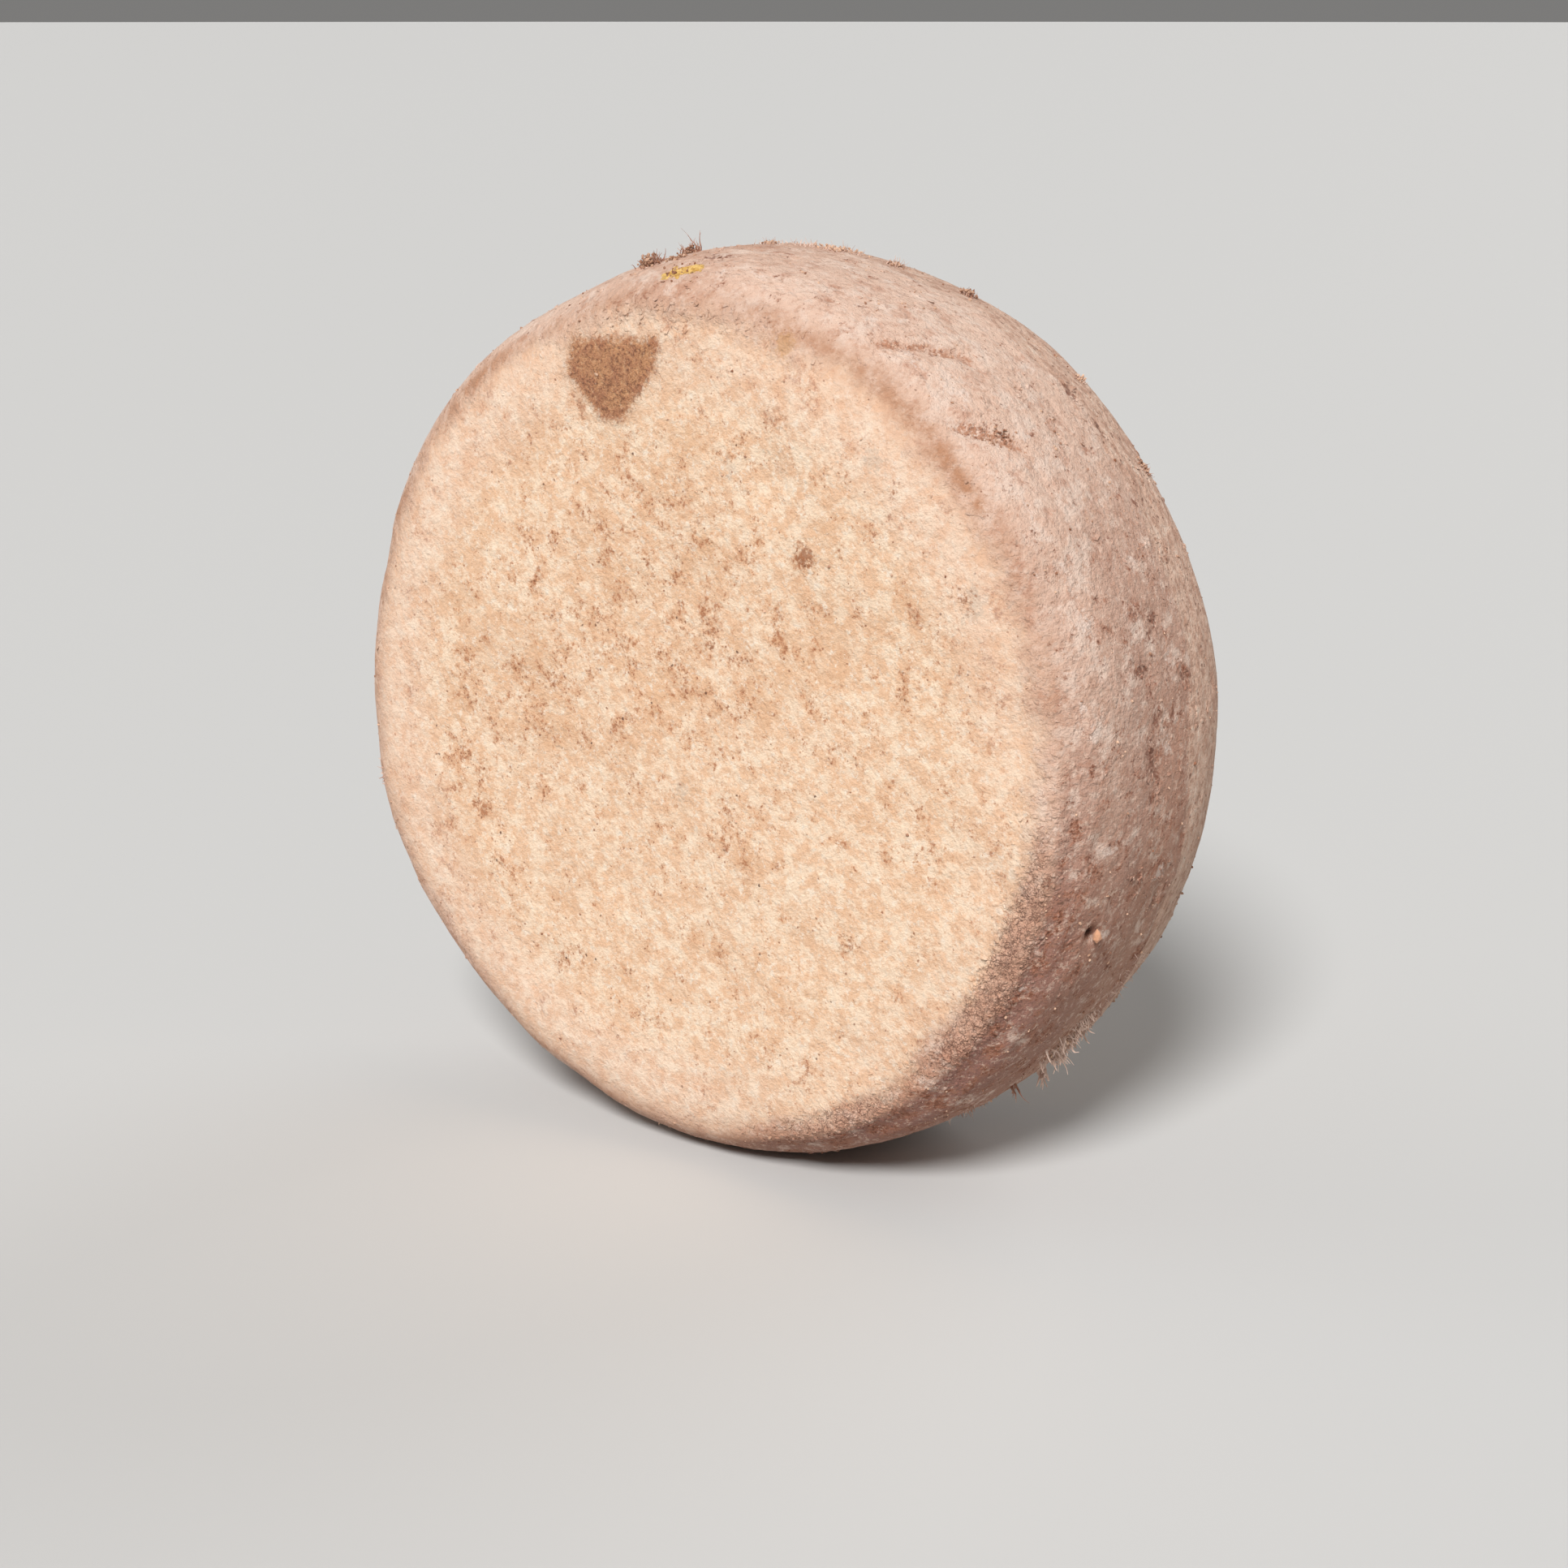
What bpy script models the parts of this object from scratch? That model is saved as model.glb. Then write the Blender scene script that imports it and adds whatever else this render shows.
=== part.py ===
"""A small farmhouse cheese wheel with a natural rind, standing on its rim.

The wheel's axis is horizontal, along Y, and its shown face looks towards -Y. The origin is the middle of the
small flat foot that its weight has pressed into the rim, so the wheel rests on the plane z = 0. One turned body
carries the relief of the rind: rims and faces that are out of true, a pressed trough round the shoulder, cracks,
shallow dents and low swellings. All sizes are in metres and all angles in degrees, measured round the axis from
+X towards +Z.
"""

import math
import random

import bpy
from mathutils import Matrix, Vector, noise

# Driving dimensions
DIAMETER = 0.260
THICKNESS = 0.090
FOOT_PRESS = 0.0020        # how far the rim is pressed flat where the wheel stands
FACE_FLATNESS = 21.3       # power of the radius in the profile: high keeps the faces flat
RIM_ROUNDNESS = 2.31       # power of the height in the profile: low makes the rim bulge

RADIUS = DIAMETER / 2
HALF_THICKNESS = THICKNESS / 2
AXIS_HEIGHT = RADIUS - FOOT_PRESS

# How finely the turned body is divided
STEPS_ROUND = 118
STEPS_ALONG_PROFILE = 46
PROFILE_SAMPLES = 4000

# Relief of the rind. Positive heights stand out and negative ones go in.
SWELLING_HEIGHT = 0.0009
SWELLING_SPACING = 0.060
RIPPLE_HEIGHT = 0.0004
RIPPLE_SPACING = 0.021
FOOT_ANGLE = -90.0
FOOT_CALM = 16.0           # degrees either side of the foot where the rind is pressed smooth

# Each bulge or flat of the rim: its angle, its half width in degrees, and its height
OUT_OF_ROUND = (
    (-155.0, 15.0, 0.0024),
    (90.0, 10.0, 0.0012),
    (166.0, 9.0, -0.0007),
    (112.0, 8.0, -0.0008),
    (-46.0, 10.0, 0.0009),
)

# The trough that the mould's lid pressed round part of each shoulder
TROUGH_RADIUS = 0.1195
TROUGH_WIDTH = 0.0042
TROUGH_DEPTH = 0.0011
TROUGH_FROM, TROUGH_TO = 30.0, 78.0
TROUGH_FADE = 10.0

# Each crack: the angle and the distance from the mid-plane of its two ends, its half width and its depth
CRACKS = (
    ((62.5, -0.0330), (55.5, -0.0140), 0.0026, 0.0012),
    ((47.5, -0.0350), (42.5, -0.0240), 0.0024, 0.0011),
    ((-17.0, -0.0310), (-24.0, -0.0335), 0.0026, 0.0009),
    ((128.0, 0.0080), (118.0, 0.0220), 0.0030, 0.0012),
    ((205.0, 0.0300), (214.0, 0.0180), 0.0028, 0.0010),
)

DENT_COUNT = 70
DENT_WIDTHS = (0.0055, 0.0120)
DENT_DEPTHS = (0.0003, 0.0009)
DENT_SEED = 11

RIND_COLOUR = (0.780, 0.560, 0.400, 1.0)
RIND_ROUGHNESS = 0.85


def remove_everything():
    """Clears the scene, so that the script gives the same result wherever it is run."""
    for thing in list(bpy.data.objects):
        bpy.data.objects.remove(thing)


def collection_named(name):
    group = bpy.data.collections.get(name) or bpy.data.collections.new(name)
    if group.name not in bpy.context.scene.collection.children:
        bpy.context.scene.collection.children.link(group)
    return group


def profile_at(turn):
    """The profile's radius and height along the axis, at a turn from 0 (one face's centre) to pi (the other's)."""
    radius = RADIUS * abs(math.sin(turn)) ** (2 / FACE_FLATNESS)
    height = math.copysign(HALF_THICKNESS * abs(math.cos(turn)) ** (2 / RIM_ROUNDNESS), math.cos(turn))
    return radius, height


def even_profile(count):
    """Points of the profile at even distances along it, from the top face's centre down the outer side."""
    fine = [profile_at(math.pi * i / PROFILE_SAMPLES) for i in range(PROFILE_SAMPLES + 1)]
    fine[0] = (0.0, HALF_THICKNESS)
    fine[-1] = (0.0, -HALF_THICKNESS)
    travelled = [0.0]
    for before, after in zip(fine, fine[1:]):
        travelled.append(travelled[-1] + math.dist(before, after))
    points = []
    at = 0
    for i in range(count + 1):
        wanted = travelled[-1] * i / count
        while at < PROFILE_SAMPLES - 1 and travelled[at + 1] < wanted:
            at += 1
        span = travelled[at + 1] - travelled[at]
        share = (wanted - travelled[at]) / span
        points.append(tuple(a + (b - a) * share for a, b in zip(fine[at], fine[at + 1])))
    return points


def turned_body(name):
    """The smooth wheel: its half outline turned about Z by a Screw modifier, then made a mesh with its axis on Y."""
    outline = even_profile(STEPS_ALONG_PROFILE)
    mesh = bpy.data.meshes.new(name + "_outline")
    mesh.from_pydata([(r, 0.0, h) for r, h in outline], [(i, i + 1) for i in range(len(outline) - 1)], [])
    turned = bpy.data.objects.new(name + "_outline", mesh)
    bpy.context.scene.collection.objects.link(turned)
    screw = turned.modifiers.new("turn", "SCREW")
    screw.angle = math.tau
    screw.steps = STEPS_ROUND
    screw.render_steps = STEPS_ROUND
    screw.use_merge_vertices = True
    screw.merge_threshold = 0.00001
    bpy.context.view_layer.update()
    solid = bpy.data.meshes.new_from_object(turned.evaluated_get(bpy.context.evaluated_depsgraph_get()))
    bpy.data.objects.remove(turned)
    solid.name = name
    solid.transform(Matrix.Rotation(math.radians(90), 4, "X"))
    return solid


def bell(distance, width):
    return math.exp(-((distance / width) ** 2))


def angle_between(a, b):
    """The smallest turn from b to a, in degrees."""
    return (a - b + 180.0) % 360.0 - 180.0


def smooth_step(value, low, high):
    share = min(1.0, max(0.0, (value - low) / (high - low)))
    return share * share * (3 - 2 * share)


def on_the_rim(angle, along):
    """The point of the smooth rim at an angle round the axis and a distance from the mid-plane."""
    radius = RADIUS * (1 - abs(along / HALF_THICKNESS) ** RIM_ROUNDNESS) ** (1 / FACE_FLATNESS)
    return Vector((radius * math.cos(math.radians(angle)), along, radius * math.sin(math.radians(angle))))


def distance_to_stretch(point, start, end):
    run = end - start
    share = min(1.0, max(0.0, (point - start).dot(run) / run.length_squared))
    return (point - start - run * share).length


def dent_list():
    """Where the shallow dents lie. Half are on the faces and half on the rim."""
    draw = random.Random(DENT_SEED)
    dents = []
    for i in range(DENT_COUNT):
        angle = draw.uniform(0.0, 360.0)
        if i % 2:
            centre = on_the_rim(angle, draw.uniform(-0.85, 0.85) * HALF_THICKNESS)
        else:
            radius = 0.92 * RADIUS * math.sqrt(draw.random())
            side = draw.choice((-1, 1)) * HALF_THICKNESS
            centre = Vector((radius * math.cos(math.radians(angle)), side, radius * math.sin(math.radians(angle))))
        dents.append((centre, draw.uniform(*DENT_WIDTHS), draw.uniform(*DENT_DEPTHS)))
    return dents


def unevenness(point, angle):
    """The broad shape that no mould makes twice: bulges, flats, slow swellings and ripples."""
    rim_share = smooth_step(math.hypot(point.x, point.z), 0.80 * RADIUS, 0.97 * RADIUS)
    height = sum(rise * bell(angle_between(angle, at), width) for at, width, rise in OUT_OF_ROUND) * rim_share
    height += SWELLING_HEIGHT * noise.noise(point / SWELLING_SPACING)
    height += RIPPLE_HEIGHT * noise.noise(point / RIPPLE_SPACING + Vector((7.3, 1.9, 4.1)))
    return height


def pressed_trough(point, angle):
    """The shallow trough inside both shoulders, deepest at the upper right."""
    ring = bell(math.hypot(point.x, point.z) - TROUGH_RADIUS, TROUGH_WIDTH)
    stretch = smooth_step(angle, TROUGH_FROM, TROUGH_FROM + TROUGH_FADE)
    stretch -= smooth_step(angle, TROUGH_TO - TROUGH_FADE, TROUGH_TO)
    return -TROUGH_DEPTH * ring * (0.25 + 0.75 * stretch)


def rind_relief(point, dents, cracks):
    """How far the rind stands out from the smooth wheel at a point of it."""
    angle = math.degrees(math.atan2(point.z, point.x))
    height = unevenness(point, angle) + pressed_trough(point, angle)
    height -= sum(depth * bell(distance_to_stretch(point, a, b), width) for a, b, width, depth in cracks)
    height -= sum(depth * bell((point - centre).length, width) for centre, width, depth in dents)
    calm = smooth_step(abs(angle_between(angle, FOOT_ANGLE)), 0.4 * FOOT_CALM, FOOT_CALM)
    return height * calm


def press_relief(mesh):
    """Moves each point of the smooth wheel in or out along its normal, and lifts the wheel onto the ground."""
    dents = dent_list()
    cracks = [(on_the_rim(*start), on_the_rim(*end), width, depth) for start, end, width, depth in CRACKS]
    moved = [v.co + v.normal * rind_relief(v.co, dents, cracks) for v in mesh.vertices]
    for vertex, place in zip(mesh.vertices, moved):
        vertex.co = place + Vector((0.0, 0.0, AXIS_HEIGHT))
    mesh.update()


def rind_material():
    material = bpy.data.materials.new("natural_rind")
    material.use_nodes = True
    surface = material.node_tree.nodes["Principled BSDF"]
    surface.inputs["Base Color"].default_value = RIND_COLOUR
    surface.inputs["Roughness"].default_value = RIND_ROUGHNESS
    surface.inputs["Metallic"].default_value = 0.0
    return material


def ground_cutter(group):
    """A block below z = 0 that takes off the pressed rim, which leaves the flat foot."""
    depth = 0.05
    bpy.ops.mesh.primitive_cube_add(size=1, location=(0, 0, -depth / 2))
    cutter = bpy.context.object
    cutter.name = "ground_cutter"
    cutter.data.transform(Matrix.Diagonal((2 * DIAMETER, 2 * THICKNESS, depth, 1)))
    cutter.display_type = "WIRE"
    cutter.hide_render = True
    for owner in list(cutter.users_collection):
        owner.objects.unlink(cutter)
    group.objects.link(cutter)
    return cutter


def cheese_wheel():
    mesh = turned_body("cheese_wheel")
    press_relief(mesh)
    mesh.shade_smooth()
    mesh.materials.append(rind_material())
    wheel = bpy.data.objects.new("cheese_wheel", mesh)
    collection_named("cheese").objects.link(wheel)
    foot = wheel.modifiers.new("flat_foot", "BOOLEAN")
    foot.operation = "DIFFERENCE"
    foot.solver = "EXACT"
    foot.object = ground_cutter(collection_named("cutters"))
    return wheel


remove_everything()
cheese_wheel()
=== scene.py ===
"""A small farmhouse wheel of semi-hard cheese with a natural rind, standing on its edge in a plain studio.

The wheel's axis lies along Y, its shown face looks towards -Y, and it stands on z = 0. Lengths are in metres,
or in millimetres where a table says so. Angles are in degrees, round the axis from +X towards +Z. A place on
the wheel is given from the wheel's centre.
"""

import math
import random

import bmesh
import bpy
import numpy as np
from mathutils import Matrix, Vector, noise
from mathutils.bvhtree import BVHTree
from mathutils.kdtree import KDTree


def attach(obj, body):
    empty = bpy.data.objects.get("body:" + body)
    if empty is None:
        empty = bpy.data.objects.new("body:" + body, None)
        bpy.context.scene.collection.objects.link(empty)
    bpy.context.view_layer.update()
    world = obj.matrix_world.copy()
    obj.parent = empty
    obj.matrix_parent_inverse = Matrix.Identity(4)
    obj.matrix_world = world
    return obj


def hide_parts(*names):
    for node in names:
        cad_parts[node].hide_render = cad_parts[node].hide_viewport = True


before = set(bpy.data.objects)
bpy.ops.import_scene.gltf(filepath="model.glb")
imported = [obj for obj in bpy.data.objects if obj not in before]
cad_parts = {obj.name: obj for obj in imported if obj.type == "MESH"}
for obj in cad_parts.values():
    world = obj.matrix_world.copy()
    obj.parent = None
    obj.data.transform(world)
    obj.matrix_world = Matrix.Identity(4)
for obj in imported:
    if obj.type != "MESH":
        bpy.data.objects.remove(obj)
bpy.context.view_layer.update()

# The wheel: one round of pressed and aged curd, 26 cm across, in the dry skin that mould and brushing give.
# It starts as a box of fine square cells, drawn out to the wheel's profile. The surface then takes the relief
# of the rind, from slow swellings down to pits.
DIAMETER = 0.26
THICKNESS = 0.09
FOOT_PRESS = 0.002         # how far the rim is pressed flat where the wheel stands
FACE_FLATNESS = 21.3       # power of the radius in the profile: high keeps the faces flat
RIM_ROUNDNESS = 2.31       # power of the height in the profile: low makes the rim bulge
RADIUS = DIAMETER / 2
HALF_THICKNESS = THICKNESS / 2
AXIS_HEIGHT = RADIUS - FOOT_PRESS

FACE_CELLS = 150           # cells from side to side of a face
RIM_CELLS = 86             # cells over the rim, from one face's cells to the other's
FACE_REACH = 0.112         # how far out a face's own cells reach from its middle

# Low relief, the same as the solid's
SWELLING_HEIGHT = 0.0009
SWELLING_SPACING = 0.06
RIPPLE_HEIGHT = 0.0004
RIPPLE_SPACING = 0.021
RIPPLE_SHIFT = (7.3, 1.9, 4.1)
FOOT_ANGLE = -90.0
FOOT_CALM = 16.0
OUT_OF_ROUND = (
    (-155.0, 15.0, 0.0024),
    (90.0, 10.0, 0.0012),
    (166.0, 9.0, -0.0007),
    (112.0, 8.0, -0.0008),
    (-46.0, 10.0, 0.0009),
)
TROUGH_RADIUS = 0.1195
TROUGH_WIDTH = 0.0042
TROUGH_DEPTH = 0.0011
TROUGH_FROM, TROUGH_TO = 30.0, 78.0
TROUGH_FADE = 10.0
CRACKS = (
    ((62.5, -0.033), (55.5, -0.014), 0.0026, 0.0012),
    ((47.5, -0.035), (42.5, -0.024), 0.0024, 0.0011),
    ((-17.0, -0.031), (-24.0, -0.0335), 0.0026, 0.0009),
    ((128.0, 0.008), (118.0, 0.022), 0.003, 0.0012),
    ((205.0, 0.03), (214.0, 0.018), 0.0028, 0.001),
)
DENT_COUNT = 70
DENT_WIDTHS = (0.0055, 0.012)
DENT_DEPTHS = (0.0003, 0.0009)
DENT_SEED = 11

# Fine relief, which only the rind itself has: height and spacing of each grain
DUST_GRAIN = (0.0001, 0.0052)
SKIN_GRAIN = (0.00008, 0.0028)
BRUSHED_GRAIN = (0.00026, (0.017, 0.0036, 0.017))
CRUMBLY_GRAIN = (0.00075, 0.0046)
FINE_FADE = 0.004          # height above the table over which the fine relief comes in
PIT_COUNT = 300
PIT_WIDTHS = (0.0009, 0.0018)
PIT_DEPTHS = (0.0003, 0.0008)
PIT_STRETCH = 2.2
PIT_SEED = 23

# One deep pit on the rim, where a crumb has come away and stuck beside its hole
CRUMB_PIT = (0.1216, -0.0248, -0.0407)
CRUMB_PIT_WIDTH = 0.0021
CRUMB_PIT_DEPTH = 0.003
CRUMB_PIT_SHADE = 0.0018    # half width of the painted shade in its bottom

# The crumbly stretches of a shoulder: middle angle, half width in degrees, side (-1 is shown), strength
CRUMBLY_STRETCHES = (
    (-26.0, 19.0, -1, 1.0),
    (-62.0, 12.0, -1, 0.6),
    (92.0, 16.0, -1, 0.25),
    (150.0, 14.0, 1, 0.8),
    (35.0, 12.0, 1, 0.5),
    (-140.0, 16.0, 1, 0.7),
)
# Distances from a face's middle along the profile: the crumbly band, its raised edge, the hollow beyond it
CRUMBLY_AT, CRUMBLY_WIDTH = 0.1166, 0.005
LIP_AT, LIP_WIDTH, LIP_HEIGHT = 0.1185, 0.003, 0.0009
LIP_FOOT_AT, LIP_FOOT_WIDTH = 0.125, 0.0036


def box_of_cells():
    """A closed box from -1 to 1 whose faces are grids of square cells."""
    box = bmesh.new()
    bmesh.ops.create_cube(box, size=2.0)
    lengthwise = [e for e in box.edges if abs(e.verts[0].co.y - e.verts[1].co.y) > 1.0]
    bmesh.ops.subdivide_edges(box, edges=lengthwise, cuts=RIM_CELLS - 1)
    crosswise = [e for e in box.edges if abs(e.verts[0].co.y - e.verts[1].co.y) < 1e-6]
    bmesh.ops.subdivide_edges(box, edges=crosswise, cuts=FACE_CELLS - 1, use_grid_fill=True)
    return box


def profile_by_distance():
    """Half the profile, from a face's middle to the rim's: distance along it, radius and height."""
    turn = np.linspace(0.0, math.pi / 2, 20001)
    radius = RADIUS * np.sin(turn) ** (2 / FACE_FLATNESS)
    height = HALF_THICKNESS * np.clip(np.cos(turn), 0.0, 1.0) ** (2 / RIM_ROUNDNESS)
    steps = np.hypot(np.diff(radius), np.diff(height))
    return np.concatenate(([0.0], np.cumsum(steps))), radius, height


def square_to_round(x, z):
    """The angle, in radians, that spreads a square's edge evenly round a circle."""
    wide = np.abs(x) >= np.abs(z)
    safe_x = np.where(x == 0, 1.0, x)
    safe_z = np.where(z == 0, 1.0, z)
    eighth = math.pi / 4
    angle = np.where(wide, eighth * z / safe_x, 2 * eighth - eighth * x / safe_z)
    return angle + np.where(np.where(wide, x < 0, z < 0), math.pi, 0.0)


def drawn_to_profile(cells):
    """Moves the box's points onto the smooth wheel. Gives each point's place, normal and profile distance."""
    x, y, z = cells.T
    distance, radius, height = profile_by_distance()
    rim_half = distance[-1] - FACE_REACH
    travelled = FACE_REACH * np.maximum(np.abs(x), np.abs(z)) + rim_half * (1 - np.abs(y))
    angle = square_to_round(x, z)
    r = np.interp(travelled, distance, radius)
    along = np.interp(travelled, distance, height) * np.sign(y)
    outward = FACE_FLATNESS * (r / RADIUS) ** (FACE_FLATNESS - 1) / RADIUS
    sideways = RIM_ROUNDNESS * np.abs(along / HALF_THICKNESS) ** (RIM_ROUNDNESS - 1) / HALF_THICKNESS
    normals = np.stack((outward * np.cos(angle), sideways * np.sign(y), outward * np.sin(angle)), axis=1)
    normals /= np.linalg.norm(normals, axis=1)[:, None]
    return np.stack((r * np.cos(angle), along, r * np.sin(angle)), axis=1), normals, travelled


def bell(distance, width):
    return np.exp(-((distance / width) ** 2))


def angle_between(a, b):
    """The smallest turn from b to a, in degrees."""
    return (a - b + 180.0) % 360.0 - 180.0


def smooth_step(value, low, high):
    share = np.clip((value - low) / (high - low), 0.0, 1.0)
    return share * share * (3 - 2 * share)


def slow_noise(points, spacing, shift=(0.0, 0.0, 0.0)):
    """Smooth noise at each point, about -1 to 1. Spacing is the size of its swells, the same or by axis."""
    return np.array([noise.noise(place) for place in (points / spacing + shift).tolist()])


def about_the_axis(radius, along, angle):
    return np.array((radius * math.cos(math.radians(angle)), along, radius * math.sin(math.radians(angle))))


def on_the_rim(angle, along):
    """The point of the smooth rim at an angle round the axis and a distance from the mid-plane."""
    radius = RADIUS * (1 - abs(along / HALF_THICKNESS) ** RIM_ROUNDNESS) ** (1 / FACE_FLATNESS)
    return about_the_axis(radius, along, angle)


def distance_to(points, place):
    return np.linalg.norm(points - place, axis=1)


def distance_to_line(points, start, end):
    run = end - start
    share = np.clip((points - start) @ run / (run @ run), 0.0, 1.0)
    return np.linalg.norm(points - start - share[:, None] * run, axis=1)


def dents():
    """The shallow dents, drawn in the same order as for the solid."""
    draw = random.Random(DENT_SEED)
    made = []
    for i in range(DENT_COUNT):
        angle = draw.uniform(0.0, 360.0)
        if i % 2:
            centre = on_the_rim(angle, draw.uniform(-0.85, 0.85) * HALF_THICKNESS)
        else:
            radius = 0.92 * RADIUS * math.sqrt(draw.random())
            centre = about_the_axis(radius, draw.choice((-1, 1)) * HALF_THICKNESS, angle)
        made.append((centre, draw.uniform(*DENT_WIDTHS), draw.uniform(*DENT_DEPTHS)))
    return made


def low_relief(points, angle):
    """The relief that the solid has too."""
    radius = np.hypot(points[:, 0], points[:, 2])
    rim_share = smooth_step(radius, 0.8 * RADIUS, 0.97 * RADIUS)
    height = sum(rise * bell(angle_between(angle, at), width) for at, width, rise in OUT_OF_ROUND) * rim_share
    height += SWELLING_HEIGHT * slow_noise(points, SWELLING_SPACING)
    height += RIPPLE_HEIGHT * slow_noise(points, RIPPLE_SPACING, RIPPLE_SHIFT)
    stretch = smooth_step(angle, TROUGH_FROM, TROUGH_FROM + TROUGH_FADE)
    stretch -= smooth_step(angle, TROUGH_TO - TROUGH_FADE, TROUGH_TO)
    height -= TROUGH_DEPTH * bell(radius - TROUGH_RADIUS, TROUGH_WIDTH) * (0.25 + 0.75 * stretch)
    for start, end, width, depth in CRACKS:
        height -= depth * bell(distance_to_line(points, on_the_rim(*start), on_the_rim(*end)), width)
    for centre, width, depth in dents():
        height -= depth * bell(distance_to(points, centre), width)
    return height * smooth_step(np.abs(angle_between(angle, FOOT_ANGLE)), 0.4 * FOOT_CALM, FOOT_CALM)


def pits(points):
    """Small pits, drawn out round the rim by the brush that rubs the wheel."""
    draw = random.Random(PIT_SEED)
    depth_here = np.zeros(len(points))
    for i in range(PIT_COUNT):
        angle = draw.uniform(0.0, 360.0)
        centre = on_the_rim(angle, draw.uniform(-0.97, 0.97) * HALF_THICKNESS)
        width = draw.uniform(*PIT_WIDTHS)
        depth = draw.uniform(*PIT_DEPTHS)
        way_round = np.array((-math.sin(math.radians(angle)), 0.0, math.cos(math.radians(angle))))
        off = points - centre
        round_off = off @ way_round
        across = np.sqrt(np.maximum((off ** 2).sum(axis=1) - round_off ** 2, 0.0))
        depth_here += depth * bell(across, width) * bell(round_off, width * PIT_STRETCH)
    return depth_here


def crumbly_round(angle, side, reach=1.0):
    """How crumbly the shoulder is at each angle, 0 to 1. A larger reach lengthens each stretch."""
    share = np.zeros(len(angle))
    for middle, half_width, which_side, strength in CRUMBLY_STRETCHES:
        here = strength * bell(angle_between(angle, middle), half_width * reach)
        share = np.maximum(share, here * (side == which_side))
    return share


def fine_relief(points, travelled, zones):
    """The grain of the skin, its brushed ridges, its crumbly bands with their lip, its marks and its pits."""
    height = DUST_GRAIN[0] * slow_noise(points, DUST_GRAIN[1])
    height += SKIN_GRAIN[0] * slow_noise(points, SKIN_GRAIN[1])
    height += BRUSHED_GRAIN[0] * slow_noise(points, BRUSHED_GRAIN[1]) * zones["rim"]
    creased = 0.45 - np.abs(slow_noise(points, CRUMBLY_GRAIN[1])) * 2.2 + 0.5 * slow_noise(points, 0.0023)
    height += CRUMBLY_GRAIN[0] * creased * zones["crumbly"]
    lip = bell(travelled - LIP_AT, LIP_WIDTH) - bell(travelled - LIP_FOOT_AT, LIP_FOOT_WIDTH)
    height += LIP_HEIGHT * lip * zones["lip"]
    height -= MARK_DEPTH * zones["dark"]
    height -= pits(points)
    height -= CRUMB_PIT_DEPTH * bell(distance_to(points, CRUMB_PIT), CRUMB_PIT_WIDTH)
    return height * smooth_step(points[:, 2] + AXIS_HEIGHT, 0.0, FINE_FADE)


# The marks of a face, as x and height from the wheel's centre: the brown stains and the blur of their edges,
# and in millimetres the round spots and clouds, each with its half width, and its strength
MM = 0.001
STAIN_CORNERS = ((-0.038, 0.1075), (-0.0064, 0.1095), (-0.0072, 0.101),
                 (-0.0187, 0.0862), (-0.0262, 0.0862), (-0.0392, 0.0979))
BACK_STAIN_CORNERS = ((0.035, -0.03), (0.056, -0.036), (0.061, -0.056),
                      (0.043, -0.065), (0.03, -0.05))
STAIN_BLUR, BACK_STAIN_BLUR = 0.0046, 0.005
BROWN_SPOTS = (
    (42.5, 54.8, 4, 1.0),
    (33.7, 37.4, 1.8, 0.6),
    (-5.5, 65.4, 2.2, 0.5),
    (6.8, 60.8, 1.6, 0.5),
    (9.3, 28.5, 4, 0.5),
    (-0.9, 48.5, 3.5, 0.4),
    (-10.3, 45.9, 3, 0.4),
    (-46.5, 9, 4.5, 0.5),
    (70.7, 75.3, 2.2, 0.6),
    (75.5, 46.1, 2.2, 0.5),
    (91.4, 49, 4, 0.6),
    (91.2, 29.9, 1.8, 0.6),
    (58.4, -49.5, 4.5, 0.5),
    (24.2, -30.1, 5.5, 0.3),
    (-64.5, -21, 2.5, 0.4),
)
TOASTED_CLOUDS = (
    (9.3, 28, 30, 1.0),
    (-10.1, 59.5, 30, 1.0),
    (-40.4, 11.7, 30, 0.8),
    (-86.1, -39.6, 28, 0.9),
    (-90, -3.1, 18, 0.4),
    (24.2, -30.1, 12, 0.9),
    (38, 95, 20, 0.7),
    (99, 35, 16, 0.7),
    (60, -45, 34, -1.0),
    (-40, -50, 30, -0.6),
    (42, 76, 24, -0.6),
)
GREY_SPOTS = (
    (0.3, -17, 3, 1.0),
    (64, 83, 3.5, 1.0),
    (94.3, 48.3, 4.5, 1.0),
    (17.5, 76, 3, 1.0),
)
TAN_STREAK, TAN_STREAK_WIDTH = ((0.0262, -0.02), (0.0222, -0.042)), 0.0034
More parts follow.
